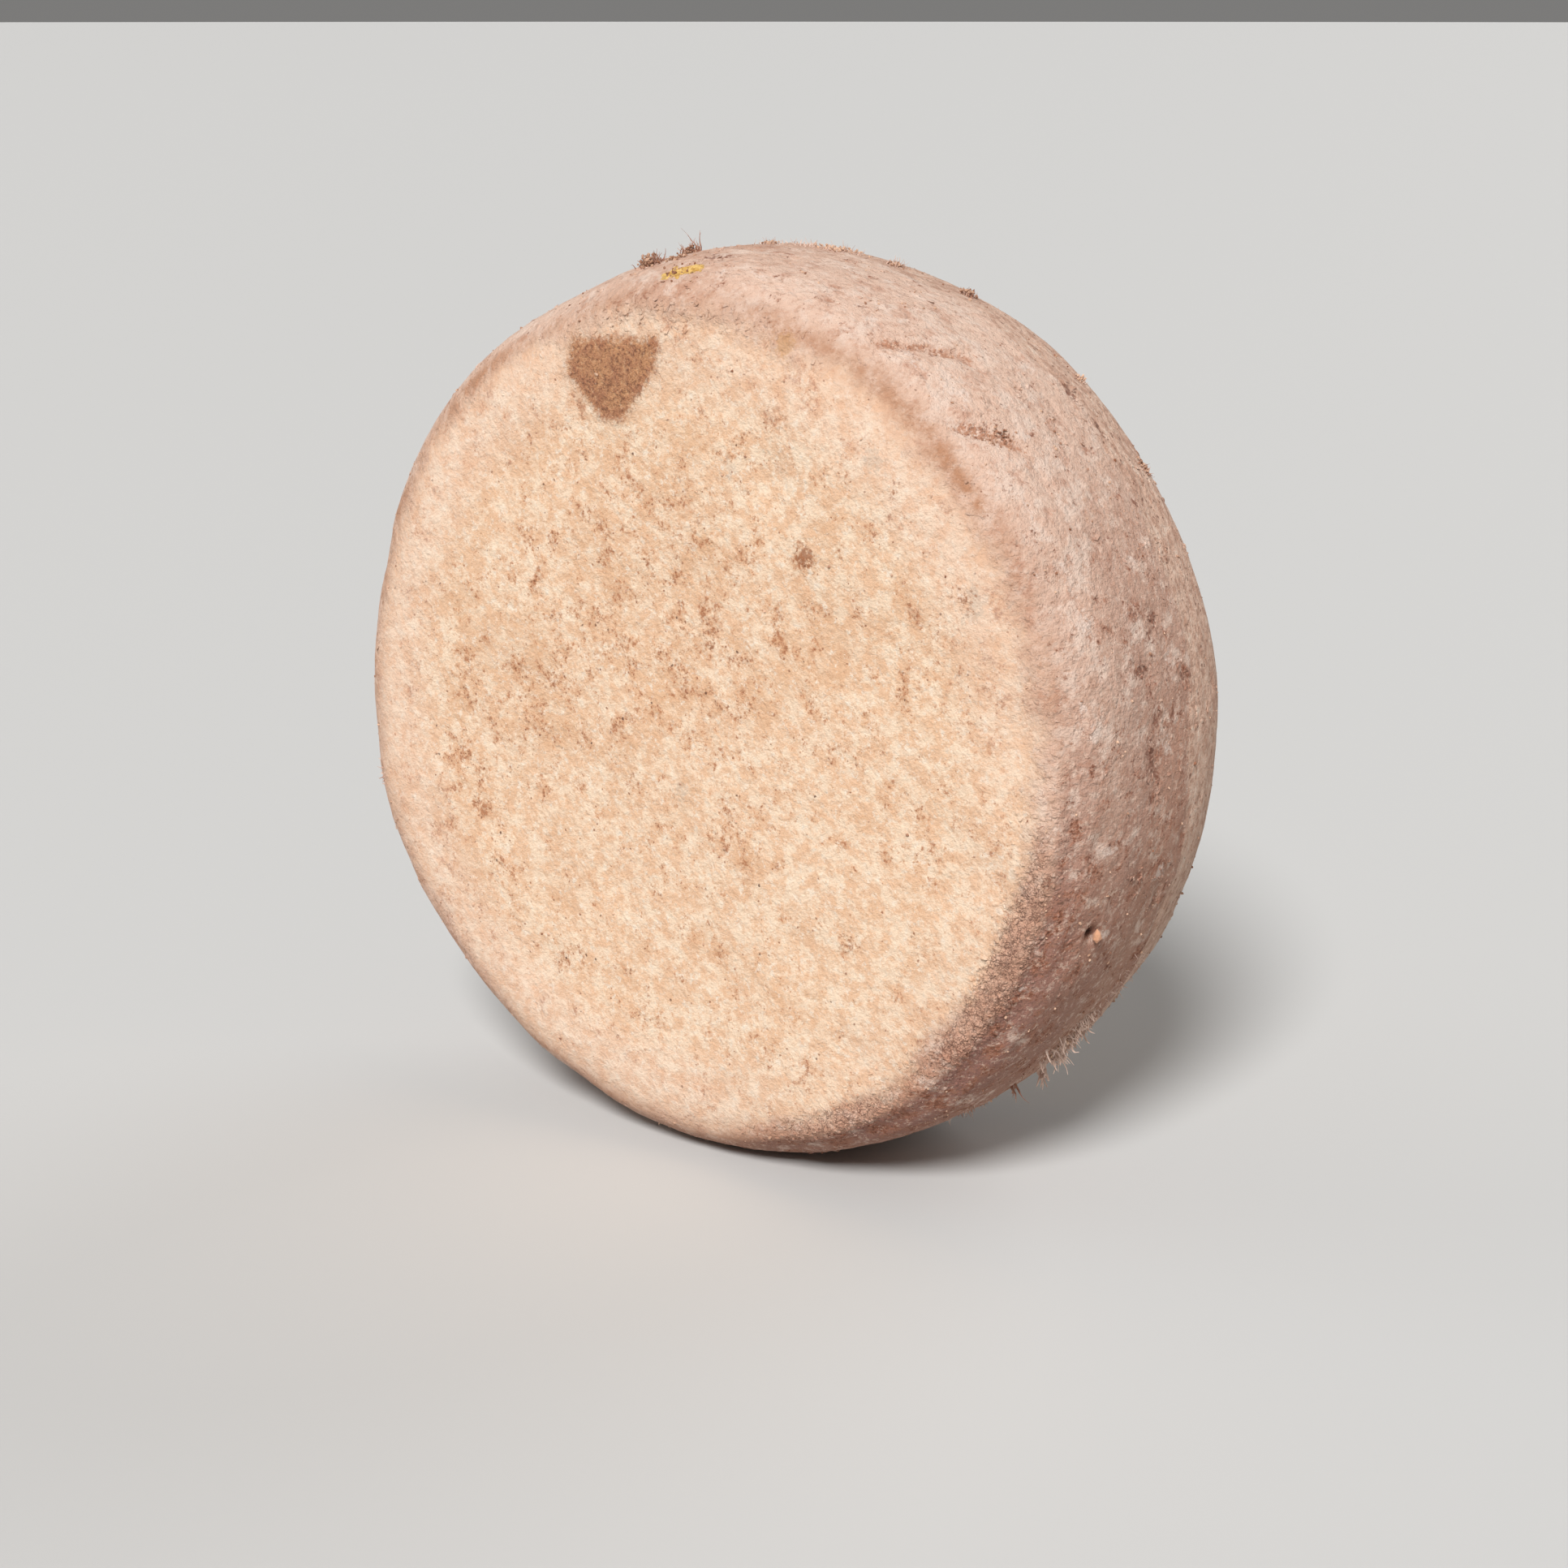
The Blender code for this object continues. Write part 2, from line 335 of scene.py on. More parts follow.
# The marks of the rim: angle, and in millimetres the distance from the shown face's middle along the profile,
# half length round the rim and half width across it, and strength
DARK_MARKS = (
    (-47.5, 134.5, 1.4, 1.2, 0.6),
    (-43.5, 136, 1.4, 1.2, 0.6),
    (-28.0, 136.7, 2.2, 1.4, 0.8),
    (-25.5, 156.2, 2, 1.4, 0.6),
    (-20.0, 130.5, 2.2, 1.4, 0.9),
    (-17.5, 169, 3.5, 1.2, 0.8),
    (-12.5, 154.5, 3.5, 3, 0.6),
    (-7.7, 130, 0.9, 3, 0.8),
    (-2.5, 154.5, 2, 2.4, 0.7),
    (0.0, 157.5, 2.6, 1.3, 0.8),
    (2.2, 122.8, 1.6, 2, 0.6),
    (2.5, 154, 5, 2.6, 0.9),
    (2.8, 116, 2.6, 1.6, 0.5),
    (7.0, 157.5, 3.4, 2.6, 0.7),
    (10.5, 173.5, 2.2, 2.6, 0.8),
    (12.8, 152, 2.2, 5, 0.8),
    (16.5, 160, 3, 2.4, 0.7),
    (18.5, 162.5, 3, 3, 0.8),
    (25.0, 178, 5, 2, 0.5),
    (29.0, 156, 1.6, 6, 0.4),
    (32.0, 176.5, 1.2, 1.6, 0.9),
    (42.0, 180, 4, 1.4, 0.8),
    (44.3, 138.5, 1.2, 1.8, 1.0),
    (46.0, 132.5, 2.2, 4.5, 0.6),
    (47.5, 179, 3.4, 1.8, 0.9),
    (57.8, 141, 1.4, 3, 0.6),
    (60.5, 134.5, 2, 3, 0.5),
    (64.8, 173.5, 1, 1.8, 0.6),
    (91.0, 139, 4, 5, 0.5),
)
PALE_MARKS = (
    (-41.0, 163.5, 8, 6, 0.5),
    (-26.5, 123, 1.6, 1.2, 0.7),
    (-19.0, 145, 2, 3, 0.8),
    (-13.0, 165, 2.6, 2.6, 0.9),
    (-9.0, 150, 3, 3, 0.4),
    (-7.5, 138.5, 1.4, 4, 0.9),
    (3.0, 163, 4, 2.6, 0.7),
    (7.5, 131, 3, 2.4, 0.9),
    (11.0, 128.5, 2, 1.2, 0.9),
    (13.3, 167, 3.4, 4, 0.55),
    (20.0, 134.5, 4, 3.6, 0.7),
    (25.5, 162, 1.6, 2, 0.5),
    (27.5, 133.5, 2.6, 3, 0.6),
    (35.0, 131.5, 6, 1.2, 0.7),
    (38.5, 149, 2.4, 3, 0.5),
    (40.0, 158.5, 2.4, 2, 0.6),
    (43.5, 145, 2.4, 4, 0.8),
    (51.5, 135, 6, 4, 0.6),
    (52.0, 168, 3, 4, 0.6),
    (58.0, 133, 5, 3, 0.5),
    (64.0, 145, 1.4, 3, 0.6),
    (66.5, 137, 3, 2.4, 0.7),
    (69.5, 140.5, 3, 2.4, 0.5),
    (72.2, 162, 1.4, 2.4, 1.0),
    (76.5, 176.5, 3, 3, 0.6),
    (77.5, 159, 1.4, 3.4, 0.8),
    (82.0, 133.5, 5, 1.6, 0.7),
    (87.0, 131, 3, 2.2, 0.8),
)
MARK_DEPTH = 0.0005        # how far the skin is sunk under a dark mark
# The brown ring inside the shoulder: its distance along the profile, its half widths, and where a thin line
# of painted shade runs in it, in the bottom of the trough, as middle angle and half width in degrees
RING_AT, RING_INSIDE, RING_OUTSIDE = 0.12, 0.006, 0.0044
RING_SHADE_LINES, RING_SHADE_WIDTH = ((64.0, 5.0), (39.0, 6.0)), 0.001
TAN_AT, TAN_SPREAD = 93.0, 13.0            # the stretch at the top where the rim has little bloom
LOW_AT, LOW_SPREAD = -45.0, 46.0           # the stretch low down where the rim is darker: partly dusky skin, partly painted shade
BARE_AT, BARE_SPREAD = -50.0, 50.0         # the stretch low down where it has no bloom
RIM_FROM, RIM_TO = 0.11, 0.125             # where the face gives way to the rim, along the profile
BLUSH_FROM, BLUSH_TO = 0.085, 0.108        # where the edge of the face pales, along the profile
BACK_FROM, BACK_TO = 0.006, 0.018          # where the tanner side of the rim sets in, past the mid-plane, paled partly as painted sheen
WANDER = 0.026                             # spacing of the noise that makes the borders wander
SCRAPE_FROM, SCRAPE_TO = (94.4, -0.0355), (90.6, -0.0325)     # angle, and distance from the mid-plane
SCRAPE_WIDTH = 0.0022
OCHRE_AT, OCHRE_WIDTH = (73.0, -0.0433), 0.004


def inside_share(flat, corners, blur):
    """1 well inside a many-sided patch, 0 well outside it, with an edge as soft as blur."""
    inside = np.zeros(len(flat), dtype=bool)
    nearest = np.full(len(flat), 1.0)
    for start, end in zip(corners, corners[1:] + corners[:1]):
        a, b = np.array(start), np.array(end)
        run = b - a
        share = np.clip((flat - a) @ run / (run @ run), 0.0, 1.0)
        nearest = np.minimum(nearest, np.linalg.norm(flat - a - share[:, None] * run, axis=1))
        crosses = (a[1] > flat[:, 1]) != (b[1] > flat[:, 1])
        level = run[0] * (flat[:, 1] - a[1]) / (run[1] if run[1] else 1e-9) + a[0]
        inside ^= crosses & (flat[:, 0] < level)
    return smooth_step(np.where(inside, nearest, -nearest), -blur, blur)


def rim_marks(marks, angle, beyond, whole):
    """The share of one table's marks at each point. The other half of the rim repeats them, turned about."""
    share = np.zeros(len(angle))
    for at, *lengths, strength in marks:
        distance, half_length, half_width = (length * MM for length in lengths)
        for middle, place in ((at, distance), (at + 180.0, whole - distance)):
            length_off = np.radians(angle_between(angle, middle)) * RADIUS
            here = strength * bell(length_off, half_length) * bell(beyond - place, half_width)
            share = np.maximum(share, here)
    return share


def blots(flat, shown, table):
    """The share of each round blot of a table at each point. The back face repeats them, turned about."""
    shares = []
    x, z = flat.T
    for *lengths, strength in table:
        at_x, at_z, width = (length * MM for length in lengths)
        off = np.where(shown, np.hypot(x - at_x, z - at_z), np.hypot(x + at_z, z + at_x))
        shares.append(strength * bell(off, width))
    return np.array(shares)


def skin_zones(points, travelled, angle, side):
    """How the skin changes from the face over the shoulder and the rim: a share for each kind."""
    along = points[:, 1]
    wander = slow_noise(points, WANDER)
    lip = np.minimum(1.8 * crumbly_round(angle, side, 1.5), 1.0)
    upper = smooth_step(90 - np.abs(angle_between(angle, 90.0)), 18.0, 48.0)
    rim = smooth_step(travelled + 0.004 * wander, RIM_FROM - 0.005 * lip, RIM_TO - 0.002 * lip)
    off = travelled + 0.001 * wander - RING_AT
    ring = bell(off, np.where(off < 0, RING_INSIDE, RING_OUTSIDE)) * (1 - lip)
    ring *= 0.75 + 0.4 * smooth_step(angle, 20.0, 62.0)
    # A thin line of painted shade in the bottom of the trough, added to the ring's share.
    line = bell(off, RING_SHADE_WIDTH) * sum(bell(angle_between(angle, at), width) for at, width in RING_SHADE_LINES)
    # Partly dusky skin, partly painted shade: the rim darkens low down, just past the lip, and where it turns
    # from the light.
    low = bell(angle_between(angle + 8 * wander, LOW_AT), LOW_SPREAD)
    fading = 0.85 * smooth_step(travelled, 0.126, 0.144) + 0.7 * smooth_step(travelled, 0.144, 0.16)
    turned_away = 0.45 * smooth_step(along + 0.006 * wander, -0.034, -0.012) * (1 - 0.9 * upper)
    outside = smooth_step(travelled + 0.0015 * wander, 0.119, 0.1225)
    bloom = 1 - bell(angle_between(angle + 8 * wander, BARE_AT), BARE_SPREAD) * 1.25
    bloom *= 1 - (0.55 - 0.45 * upper) * smooth_step(along, -0.032, -0.002)
    bloom *= 1 - 0.5 * bell(angle_between(angle, TAN_AT), TAN_SPREAD)
    return {
        "lip": lip,
        "crumbly": crumbly_round(angle, side) * bell(travelled - CRUMBLY_AT, CRUMBLY_WIDTH),
        "rim": rim,
        "blush": smooth_step(travelled, BLUSH_FROM, BLUSH_TO) * (1 - 0.7 * lip),
        "ring": ring * (0.95 + 0.5 * slow_noise(points, 0.035, (3.1, 0.0, 0.0))) + 0.35 * line,
        "back_band": smooth_step(along + 0.006 * wander, BACK_FROM, BACK_TO) * rim,
        "dusky_and_shade": np.clip(low * (1.45 - fading) + turned_away, 0.0, 1.4) * outside,
        "bloom": np.clip(bloom + 0.3 * slow_noise(points, 0.03, (0.0, 5.7, 0.0)), 0.0, 1.0),
    }


def mark_zones(points, travelled, angle, shown):
    """The marks on the skin: a share for each kind."""
    flat = points[:, (0, 2)]
    whole = 2 * profile_by_distance()[0][-1]
    beyond = np.where(shown, travelled, whole - travelled)
    stain = inside_share(flat, STAIN_CORNERS, STAIN_BLUR) * shown
    back_stain = inside_share(flat, BACK_STAIN_CORNERS, BACK_STAIN_BLUR) * ~shown
    streak = bell(distance_to_line(flat, *np.array(TAN_STREAK)), TAN_STREAK_WIDTH)
    scrape = distance_to_line(points, on_the_rim(*SCRAPE_FROM), on_the_rim(*SCRAPE_TO))
    bared = CRACKS[:2] + CRACKS[3:]
    lines = [(distance_to_line(points, on_the_rim(*a), on_the_rim(*b)), width) for a, b, width, _ in bared]
    return {
        "dark": rim_marks(DARK_MARKS, angle, beyond, whole),
        "pale": rim_marks(PALE_MARKS, angle, beyond, whole),
        "stain": np.maximum(stain, 0.8 * back_stain),
        "spots": blots(flat, shown, BROWN_SPOTS).max(axis=0),
        "toasted": np.clip(blots(flat, shown, TOASTED_CLOUDS).sum(axis=0), -1.0, 1.0) + 1.6 * streak,
        "grey": blots(flat, shown, GREY_SPOTS).max(axis=0) * shown,
        "scrape": bell(scrape, SCRAPE_WIDTH),
        "ochre": bell(distance_to(points, on_the_rim(*OCHRE_AT)), OCHRE_WIDTH),
        "hollow": np.max([bell(*line) for line in lines], axis=0),
        # Painted shade in the bottom of the deep pit.
        "hole": bell(distance_to(points, CRUMB_PIT), CRUMB_PIT_SHADE),
    }


def in_scene(name, data):
    thing = bpy.data.objects.new(name, data)
    bpy.context.scene.collection.objects.link(thing)
    return thing


def give_share(mesh, name, share):
    """Gives a mesh one number for each point, which its material reads by name."""
    mesh.attributes.new(name, "FLOAT", "POINT").data.foreach_set("value", share.astype(np.float32))


def cheese_rind():
    cells = box_of_cells()
    corners = np.array([v.co[:] for v in cells.verts])
    points, normals, travelled = drawn_to_profile(corners)
    angle = np.degrees(np.arctan2(points[:, 2], points[:, 0]))
    side = np.where(points[:, 1] < 0, -1, 1)
    zones = skin_zones(points, travelled, angle, side) | mark_zones(points, travelled, angle, side < 0)
    height = low_relief(points, angle) + fine_relief(points, travelled, zones)
    places = points + normals * height[:, None] + np.array((0.0, 0.0, AXIS_HEIGHT))
    places[:, 2] = np.maximum(places[:, 2], 0.0)
    for vertex, place in zip(cells.verts, places.tolist()):
        vertex.co = place
    bmesh.ops.recalc_face_normals(cells, faces=cells.faces)
    mesh = bpy.data.meshes.new("rind")
    cells.to_mesh(mesh)
    cells.free()
    for name, share in zones.items():
        give_share(mesh, name, share)
    mesh.shade_smooth()
    return in_scene("rind", mesh)


# The rind's colours are given as they show under the key lamp, from 0 to 255. White paint would show brighter
# than white there, so each paint is darker than its colour by this share.
KEY_LIGHT_SHARE = 0.74


def shown_as(red, green, blue):
    """The paint, in linear light, that shows as this colour under the key lamp."""
    screen = np.array((red, green, blue)) / 255
    linear = np.where(screen <= 0.04045, screen / 12.92, ((screen + 0.055) / 1.055) ** 2.4)
    return (*(linear * KEY_LIGHT_SHARE).tolist(), 1.0)


class Paint:
    """A material's node tree, with a short method for each kind of node that the cheese needs.

    The place is turned a little, so that no noise lies square to a face.
    """

    def __init__(self, name, roughness, sheen=0.0):
        self.material = bpy.data.materials.new(name)
        self.material.use_nodes = True
        self.tree = self.material.node_tree
        self.surface = self.tree.nodes["Principled BSDF"]
        dull = {"Roughness": roughness, "Specular IOR Level": 0.25}
        dusty = {"Sheen Weight": sheen, "Sheen Roughness": 0.5, "Sheen Tint": (1.0, 0.86, 0.74, 1.0)}
        for name, value in (dull | dusty).items():
            self.surface.inputs[name].default_value = value
        self.straight = self.node("TexCoord").outputs["Object"]
        turn = {"Vector": self.straight, "Rotation": (0.6, 0.4, 0.9)}
        self.place = self.node("Mapping", turn).outputs["Vector"]

    def node(self, kind, inputs=(), **settings):
        made = self.tree.nodes.new("ShaderNode" + kind)
        for name, value in settings.items():
            setattr(made, name, value)
        for socket, value in dict(inputs).items():
            if isinstance(value, bpy.types.NodeSocket):
                self.tree.links.new(value, made.inputs[socket])
            else:
                made.inputs[socket].default_value = value
        return made

    def share(self, name):
        return self.node("Attribute", attribute_name=name).outputs["Fac"]

    def stretched(self, x, y, z):
        """The place, scaled by its own factor along each axis."""
        return self.node("Mapping", {"Vector": self.straight, "Scale": (x, y, z)}).outputs["Vector"]

    def shifted(self, by):
        """The place, moved on, so that a second noise of the same spacing isn't the same."""
        return self.node("Mapping", {"Vector": self.place, "Location": (by, by, by)}).outputs["Vector"]

    def warped(self, spacing, by):
        """The place, pushed about by noise, so that what is drawn on it loses its even shape."""
        pushes = self.node("TexNoise", {"Vector": self.place, "Scale": 1 / spacing}).outputs["Color"]
        centred = self.node("VectorMath", {0: pushes, 1: (0.5, 0.5, 0.5)}, operation="SUBTRACT").outputs[0]
        scaled = self.node("VectorMath", {0: centred, "Scale": by}, operation="SCALE").outputs[0]
        return self.node("VectorMath", {0: self.place, 1: scaled}, operation="ADD").outputs[0]

    def noise(self, spacing, detail, roughness, place=None):
        inputs = {"Vector": place or self.place, "Scale": 1 / spacing}
        return self.node("TexNoise", inputs | {"Detail": detail, "Roughness": roughness}).outputs["Fac"]

    def step(self, value, low, high, top=1.0):
        """0 where the value is at low, top where it is at high, and a soft step between."""
        inputs = {"Value": value, "From Min": low, "From Max": high, "To Max": top}
        return self.node("MapRange", inputs, interpolation_type="SMOOTHSTEP").outputs["Result"]

    def sum(self, operation, a, b):
        return self.node("Math", {0: a, 1: b}, operation=operation).outputs["Value"]

    def times(self, a, b):
        return self.sum("MULTIPLY", a, b)

    def plus(self, a, b):
        return self.sum("ADD", a, b)

    def swing(self, value, by):
        """The value's swing about a half, times by."""
        return self.times(self.sum("SUBTRACT", value, 0.5), by)

    def nudged(self, value, *nudges):
        """The value, raised by each share times its own amount."""
        for share, by in nudges:
            value = self.plus(value, self.times(share, by))
        return value

    def over(self, base, top, share, strength=None):
        """The base colour, with the top one over it where the share is 1. A tuple is a colour as it shows."""
        base, top = (shown_as(*colour) if isinstance(colour, tuple) else colour for colour in (base, top))
        share = share if strength is None else self.times(share, strength)
        return self.node("Mix", {0: share, 6: base, 7: top}, data_type="RGBA").outputs[2]

    def coats(self, base, *coats):
        """The base under coats, each given as its colour, the value it follows, and that value's step."""
        for colour, value, *step in coats:
            base = self.over(base, colour, self.step(value, *step))
        return base

    def dots(self, spacing, size, crowd, place=None):
        """Round dots: size is a dot's share of its cell, crowd the share of cells that have one."""
        cells = self.node("TexVoronoi", {"Vector": place or self.place, "Scale": 1 / spacing})
        dot = self.step(cells.outputs["Distance"], size, size * 0.45)
        lot = self.node("SeparateColor", {"Color": cells.outputs["Color"]}).outputs["Red"]
        return self.times(dot, self.sum("LESS_THAN", lot, crowd))

    def mark(self, name, spacing, low=0.38, high=0.64, fray=1.1):
        """The share of a mark whose edge frays into grains."""
        frayed = self.swing(self.noise(spacing, 4.0, 0.7), fray)
        grains = self.swing(self.noise(0.0012, 3.0, 0.6), fray)
        kept = self.step(self.share(name), 0.02, 0.2)
        whole = self.plus(self.plus(self.share(name), frayed), grains)
        return self.times(self.step(whole, low, high), kept)

    def threads(self, spacing, width, place=None):
        """Thin wandering lines, 1 on the line: they follow the middle level of a noise."""
        off = self.sum("ABSOLUTE", self.sum("SUBTRACT", self.noise(spacing, 3.0, 0.6, place), 0.5), 0.0)
        return self.step(off, width, 0.0)

    def finish(self, colour, height):
        """Links the colour, and the height in metres as bump."""
        bump = self.node("Bump", {"Height": height, "Distance": 1.0, "Strength": 1.0})
        self.tree.links.new(colour, self.surface.inputs["Base Color"])
        self.tree.links.new(bump.outputs["Normal"], self.surface.inputs["Normal"])
        return self.material


def face_colour(paint):
    """Cream and peach in soft flecks, with tan clouds, brown grains in groups, and dark specks."""
    toast = paint.times(paint.share("toasted"), 0.05)
    mottle = paint.noise(0.005, 8.0, 0.72)
    cloud = paint.plus(paint.noise(0.018, 8.0, 0.72, paint.shifted(0.13)), toast)
    flecks = paint.noise(0.0023, 6.0, 0.72)
    grime = paint.plus(paint.noise(0.008, 7.0, 0.74, paint.shifted(0.29)), toast)
    grains = paint.plus(paint.noise(0.0013, 4.0, 0.7), paint.swing(grime, 1.1))
    colour = paint.coats(
        (243, 200, 164),
        ((255, 227, 198), mottle, 0.42, 0.58),
        ((232, 184, 144), cloud, 0.48, 0.66, 0.62),
        ((255, 238, 218), flecks, 0.53, 0.66, 0.8),
        ((228, 177, 138), flecks, 0.47, 0.34, 0.55),
        ((212, 158, 118), grime, 0.54, 0.7, 0.65),
        ((224, 165, 123), grains, 0.56, 0.66, 0.38),
        ((174, 110, 72), grains, 0.64, 0.76, 0.72),
    )
    uneven = paint.warped(0.0013, 0.001)
    crowd = paint.plus(paint.step(grime, 0.53, 0.7, 0.26), 0.008)
    colour = paint.over(colour, (152, 94, 62), paint.dots(0.001, 0.46, crowd, uneven), 0.8)
    few = paint.plus(paint.step(grime, 0.52, 0.72, 0.05), 0.006)
    return paint.over(colour, (96, 60, 42), paint.dots(0.0016, 0.34, few, uneven), 0.85)


def rim_colour(paint):
    """Pinkish brown under pale bloom that is thickest at the top, with brown-red pits where it is rubbed."""
    bloom = paint.share("bloom")
    dusky_and_shade = paint.share("dusky_and_shade")
    drawn_across = paint.stretched(1.1, 1.0, 1.1)
    base = paint.noise(0.009, 8.0, 0.72, drawn_across)
    # Where the rim is painted darker, partly as shade, the white flecks thin out and the brown pits gather.
    white = paint.nudged(paint.noise(0.0085, 8.0, 0.72, paint.shifted(0.17)), (bloom, 0.03), (dusky_and_shade, -0.035))
    rubbed = paint.nudged(paint.noise(0.0066, 8.0, 0.74, paint.straight), (dusky_and_shade, 0.05), (bloom, -0.04))
    flecks = paint.noise(0.0022, 4.0, 0.66, drawn_across)
    grains = paint.plus(paint.noise(0.0012, 3.0, 0.64, drawn_across), paint.swing(rubbed, 1.1))
    colour = paint.over((212, 162, 136), (250, 212, 189), bloom)
    colour = paint.coats(colour, ((210, 154, 127), base, 0.51, 0.63, 0.6))
    # Painted shade as well as dusky skin: the rim goes mauve-brown low down and where it turns from the
    # light.
    colour = paint.over(colour, (162, 114, 102), dusky_and_shade, 0.66)
    colour = paint.coats(
        colour,
        ((255, 227, 209), white, 0.5, 0.64, 0.8),
        ((184, 122, 94), rubbed, 0.53, 0.66, 0.85),
        ((255, 222, 200), flecks, 0.53, 0.66, 0.55),
        ((198, 146, 118), flecks, 0.47, 0.34, 0.42),
        ((138, 82, 58), grains, 0.64, 0.75, 0.8),
    )
    crowd = paint.plus(paint.step(rubbed, 0.55, 0.7, 0.2), 0.003)
    dots = paint.dots(0.0012, 0.46, crowd, paint.warped(0.0015, 0.0012))
    colour = paint.over(colour, (112, 66, 50), dots, 0.7)
    colour = paint.over(colour, (255, 230, 215), paint.mark("pale", 0.003, 0.28, 0.8, 1.5), 0.75)
    return paint.over(colour, (150, 96, 74), paint.mark("dark", 0.0024, 0.3, 0.8, 1.6), 0.85)


def back_band_colour(paint):
    """Paler and tanner, the paleness partly painted sheen, with short threads and pits that run round the rim
    like the weave of a cloth.
    """
    weave = paint.noise(0.0024, 5.0, 0.68, paint.stretched(0.75, 1.0, 0.75))
    colour = paint.coats(
        (238, 198, 174),
        ((208, 162, 138), weave, 0.52, 0.4),
        ((255, 230, 210), weave, 0.54, 0.66, 0.75),
        ((204, 156, 132), paint.noise(0.012, 8.0, 0.72), 0.5, 0.66, 0.6),
    )
    pits_here = paint.dots(0.0015, 0.42, 0.14, paint.warped(0.0018, 0.0014))
    colour = paint.over(colour, (128, 82, 60), pits_here, 0.75)
    return paint.over(colour, (132, 84, 62), paint.mark("dark", 0.0024, 0.3, 0.8, 1.6), 0.85)


def stain_colour(paint):
    """Velvety brown mould: a pile of fine dark and light grains over ochre and brown."""
    pile = paint.noise(0.0011, 4.0, 0.72)
    return paint.coats(
        (218, 158, 112),
        ((192, 130, 94), paint.noise(0.006, 7.0, 0.74), 0.38, 0.62),
        ((124, 76, 54), pile, 0.5, 0.64, 0.75),
        ((244, 192, 146), pile, 0.47, 0.34, 0.6),
    )


def hollow_colour(paint):
    """The reddish skin bared in a crease, with dark pits."""
    return paint.coats((206, 146, 114), ((128, 74, 52), paint.noise(0.0014, 3.0, 0.65), 0.52, 0.66, 0.9))


def broken_skin(paint):
    """1 on the cracks between the crumbs of a crumbly stretch: they are sunk a little, and their dark colour
    is painted shade.
    """
    wide = paint.threads(0.004, 0.022)
    fine = paint.threads(0.0022, 0.028, paint.shifted(0.07))
    cracks = paint.sum("MAXIMUM", wide, paint.times(fine, 0.8))
    return paint.times(cracks, paint.step(paint.share("crumbly"), 0.12, 0.55))


def rind_height(paint, rim, cracks):
    """Bump of the skin, in metres: dusty grain, brushed pits on the rim, broken crumb where it crumbles."""
    dust = paint.times(paint.noise(0.0011, 4.0, 0.7), 0.0006)
    brushed = paint.times(paint.noise(0.0026, 5.0, 0.68, paint.stretched(1.1, 1.0, 1.1)), 0.0016)
    velvet = paint.times(paint.noise(0.0011, 4.0, 0.72), 0.0009)
    broken = paint.times(paint.noise(0.0034, 5.0, 0.68), 0.0034)
    return paint.nudged(
        dust,
        (paint.noise(0.003, 4.0, 0.6), 0.00085),
        (brushed, rim),
        (velvet, paint.share("stain")),
        (broken, paint.share("crumbly")),
        (cracks, -0.0002),
    )


def natural_rind():
    paint = Paint("natural_rind", roughness=0.92, sheen=0.1)
    ragged = paint.swing(paint.noise(0.009, 7.0, 0.72), 1.4)
    rim = paint.step(paint.plus(paint.share("rim"), ragged), 0.1, 0.9)
    back = paint.step(paint.plus(paint.share("back_band"), ragged), 0.38, 0.62)
    dusted = paint.coats((242, 198, 172), ((255, 230, 212), paint.noise(0.006, 7.0, 0.74), 0.42, 0.58))
    uneven = paint.step(paint.noise(0.006, 7.0, 0.72), 0.38, 0.6)
    ring = paint.times(paint.share("ring"), paint.plus(paint.times(uneven, 0.7), 0.3))
    cracks = broken_skin(paint)
    layers = (
        (dusted, paint.share("blush"), 0.4),
        (rim_colour(paint), rim),
        (back_band_colour(paint), back),
        ((204, 150, 116), ring, 0.8),
        ((202, 184, 166), paint.mark("grey", 0.0024, 0.38, 0.8, 2.0), 0.35),
        ((168, 106, 68), paint.mark("spots", 0.0016, 0.3, 0.9, 1.9), 0.85),
        (stain_colour(paint), paint.mark("stain", 0.006, 0.22, 0.8)),
        ((218, 164, 110), paint.mark("ochre", 0.004, 0.3, 0.9, 1.6), 0.6),
        ((228, 184, 104), paint.mark("scrape", 0.0022)),
        ((214, 160, 132), paint.mark("hollow", 0.006, 0.35, 1.05, 2.4), 0.55),
        (hollow_colour(paint), paint.mark("hollow", 0.0034, 0.6, 1.1, 2.8), 0.85),
        ((244, 190, 162), paint.step(paint.share("crumbly"), 0.2, 0.8, 0.55)),
        # Painted shade: the cracks between the crumbs are painted dark.
        ((112, 64, 46), cracks, 0.7),
        # Painted shade in the bottom of the deep pit.
        ((70, 38, 28), paint.step(paint.share("hole"), 0.3, 0.75, 0.9)),
    )
    colour = face_colour(paint)
    for layer in layers:
        colour = paint.over(colour, *layer)
    return paint.finish(colour, rind_height(paint, rim, cracks))


rind = cheese_rind()
rind.data.materials.append(natural_rind())
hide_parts("cheese_wheel")
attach(rind, "root")


# The fuzz: dry threads of mould, most of them under half a millimetre long, that stand up all over the rim
# and thinly on the faces. Each is a spike with three sides and its root in the rind, and all are one mesh.
FUZZ_COUNT = 14000
FUZZ_SEED = 41
FUZZ_LENGTHS = (0.0002, 0.00055)
FUZZ_LONG_SHARE, FUZZ_LONGEST = 0.025, 0.0013
FUZZ_WIDTHS = (0.00004, 0.00008)
FUZZ_ROOT = 0.00012
FUZZ_LEAN, FUZZ_LOWEST = 0.55, 0.35        # how far the threads lean about, and the least that they rise
FUZZ_ON_FACE = 0.1         # how thick the fuzz is on the faces, where it is 1 on the rim
CLEAR_OF_TABLE = 0.0015, 0.004     # heights between which fuzz, crumbs and crust set in
PALE_FUZZ = (244, 208, 184)
BROWN_FUZZ = (206, 158, 132)


